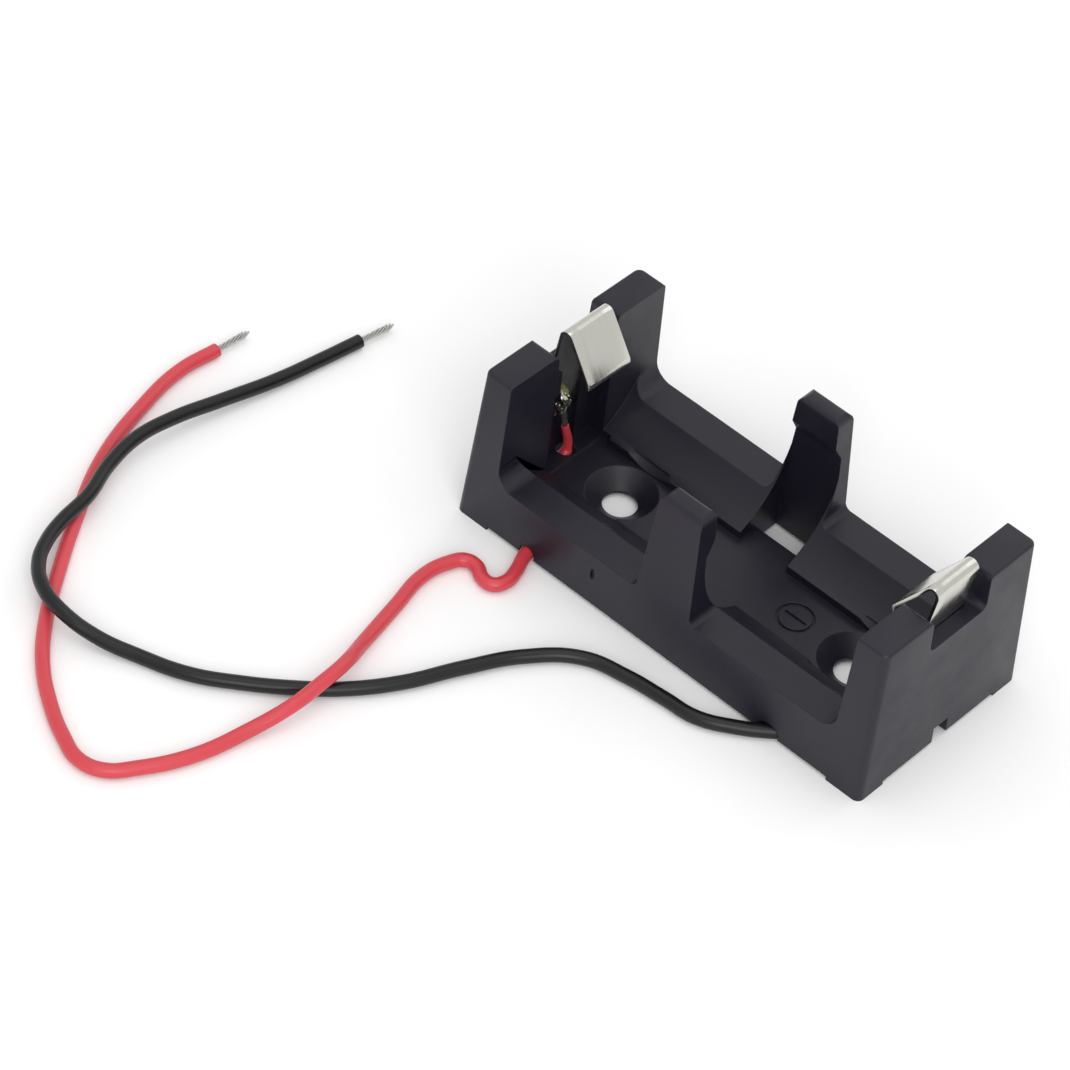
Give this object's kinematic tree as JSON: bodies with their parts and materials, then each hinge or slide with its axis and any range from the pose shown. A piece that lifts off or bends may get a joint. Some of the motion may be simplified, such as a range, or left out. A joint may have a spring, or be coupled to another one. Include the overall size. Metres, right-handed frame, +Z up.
{
  "type": "cylindrical cell holder with wire leads",
  "caption": "Open-top holder for a short cylindrical lithium cell, with folded leaf contacts in the end walls, snap arms, countersunk screw holes and soldered wire leads.",
  "frame": {"origin": "on the mounting surface, under the middle of the cradle", "axes": "+X along the cell, towards its negative end; +Y away from the side where the leads leave; +Z up, out of the open top"},
  "size_m": [0.0745, 0.0665, 0.0186],
  "materials": {
    "housing_plastic": "near-black moulded nylon, satin",
    "contact_metal": "bright nickel-plated spring strip",
    "solder": "bright solder with a film of flux",
    "red_insulation": "soft red PVC insulation",
    "black_insulation": "soft black PVC insulation",
    "tinned_strands": "tinned copper strands"
  },
  "bodies": {
    "root": {"holder_body": "housing_plastic", "positive_contact": "contact_metal", "negative_contact": "contact_metal", "positive_solder": "solder", "negative_solder": "solder", "red_lead": "red_insulation", "red_conductor": "tinned_strands", "black_lead": "black_insulation", "black_conductor": "tinned_strands"}
  },
  "joints": []
}
